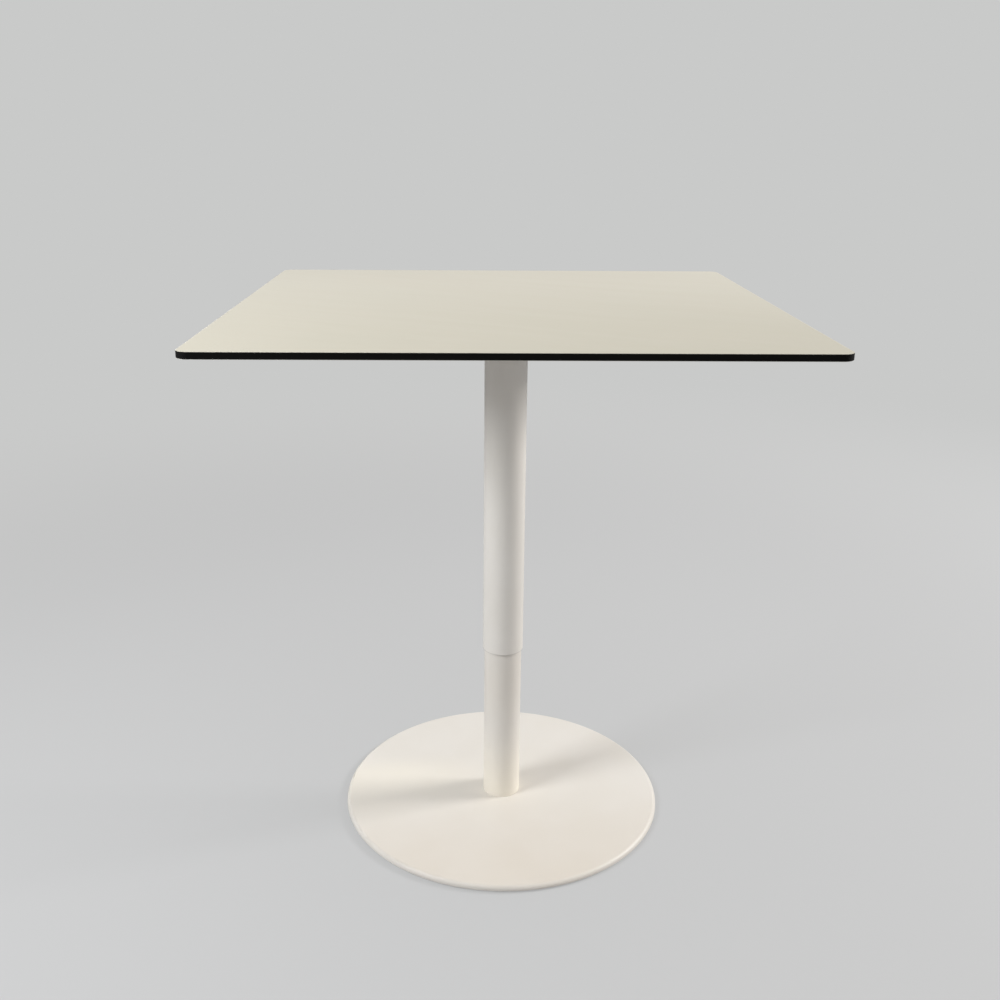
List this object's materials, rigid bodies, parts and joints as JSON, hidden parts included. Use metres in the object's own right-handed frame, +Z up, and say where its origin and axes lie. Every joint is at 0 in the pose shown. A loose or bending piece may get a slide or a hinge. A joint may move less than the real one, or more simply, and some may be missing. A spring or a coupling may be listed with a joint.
{
  "type": "telescoping pedestal table",
  "caption": "Square compact-laminate table on a telescoping steel column with a round base plate; a gas spring holds the height and a lever under the top releases it.",
  "frame": {"origin": "on the floor, under the column's axis", "axes": "+Z up, along the column; +X towards the release lever; the top's edges lie along X and Y"},
  "size_m": [0.7, 0.7, 0.75],
  "materials": {
    "laminate_face": "matte",
    "laminate_core": "satin",
    "powder_coat": "satin",
    "zinc_steel": "satin",
    "brass": "satin",
    "aluminium": "satin",
    "guide_plastic": "satin",
    "glide_plastic": "matte",
    "handle_plastic": "satin",
    "rubber": "matte",
    "cylinder_paint": "gloss",
    "chrome": "polished"
  },
  "bodies": {
    "pedestal": {"base_plate": "powder_coat", "base_glides": "glide_plastic", "foot_plug": "zinc_steel", "foot_screws": "zinc_steel", "lower_tube": "powder_coat", "guide_cap": "guide_plastic", "cap_screws": "zinc_steel", "gas_cylinder": "cylinder_paint", "stud_nut": "zinc_steel", "gas_rod_guide": "guide_plastic", "gas_rod_seal": "rubber", "stop_buffer": "rubber"},
    "tabletop": {"table_core": "laminate_core", "table_face": "laminate_face", "table_backing": "laminate_face", "threaded_inserts": "brass", "top_plate": "powder_coat", "plate_screws": "zinc_steel", "upper_tube": "powder_coat", "guide_bush": "guide_plastic", "release_head": "aluminium", "lever_pivot_pin": "zinc_steel", "gas_rod": "chrome", "rod_nut": "zinc_steel", "gas_piston": "aluminium", "piston_seal": "rubber", "anti_twist_rod": "zinc_steel"},
    "lever": {"lever_arm": "zinc_steel", "lever_handle": "handle_plastic", "handle_pin": "zinc_steel"},
    "valve": {"release_pin": "zinc_steel", "valve_tappet": "brass"},
    "separator": {"separator_piston": "aluminium", "separator_seal": "rubber"}
  },
  "joints": [
    {"name": "height_slide", "type": "slide", "parent": "pedestal", "child": "tabletop", "axis": [0, 0, 1], "range_m": [-0.03, 0.29]},
    {"name": "lever_pull", "type": "hinge", "parent": "tabletop", "child": "lever", "pos_m": [0.018, 0, 0.7223], "axis": [0, -1, 0], "range_deg": [0, 9], "stiffness_Nm_per_rad": 3, "springref_deg": -5.73},
    {"name": "pin_press", "type": "slide", "parent": "tabletop", "child": "valve", "axis": [0, 0, -1], "range_m": [0, 0.003]},
    {"name": "separator_float", "type": "slide", "parent": "pedestal", "child": "separator", "axis": [0, 0, 1], "range_m": [-0.005, 0.047]}
  ],
  "couplings": [
    {"joint": "pin_press", "follows": "lever_pull", "m_per_rad": 0.018},
    {"joint": "separator_float", "follows": "height_slide", "ratio": 0.16}
  ]
}
